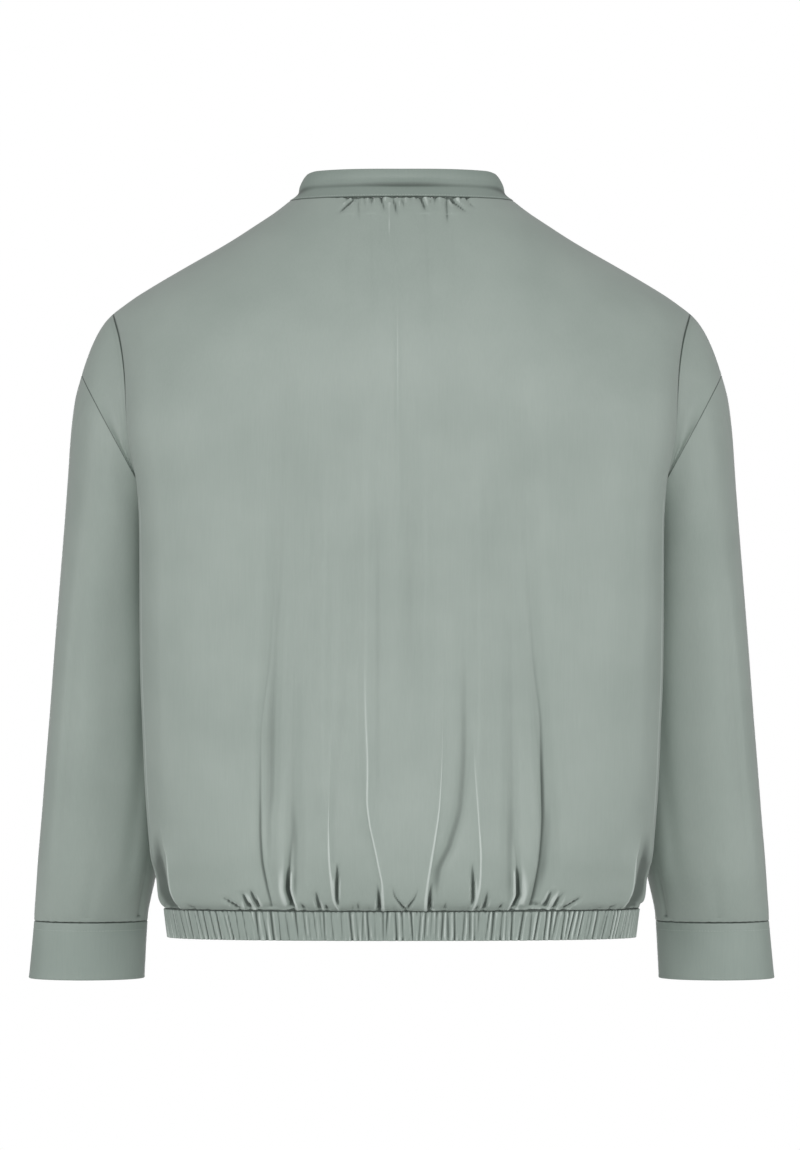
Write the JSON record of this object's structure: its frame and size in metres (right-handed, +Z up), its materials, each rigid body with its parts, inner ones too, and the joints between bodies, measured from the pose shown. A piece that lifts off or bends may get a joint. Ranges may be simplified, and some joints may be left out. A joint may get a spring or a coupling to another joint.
{
  "type": "satin blouson jacket",
  "caption": "Long-sleeved satin blouson jacket with a stand collar, dropped shoulders, plain cuffs and an elasticated hem band, hollow and filled out as on a figure.",
  "frame": {"origin": "middle of the neck opening, level with the neck points of the shoulders", "axes": "+Z up towards the collar, +Y out of the back, -Y out of the front, +X towards the jacket's own left sleeve"},
  "size_m": [0.6506, 0.244, 0.697],
  "materials": {
    "satin": "sage green satin with a soft sheen",
    "faced_satin": "the same satin, doubled over interfacing",
    "shirred_satin": "the same satin, shirred over wide elastic"
  },
  "bodies": {
    "root": {"back": "satin", "front_left": "satin", "front_right": "satin", "sleeve_left": "satin", "sleeve_right": "satin", "cuff_left": "faced_satin", "cuff_right": "faced_satin", "collar": "faced_satin", "hem_band": "shirred_satin"}
  },
  "joints": []
}
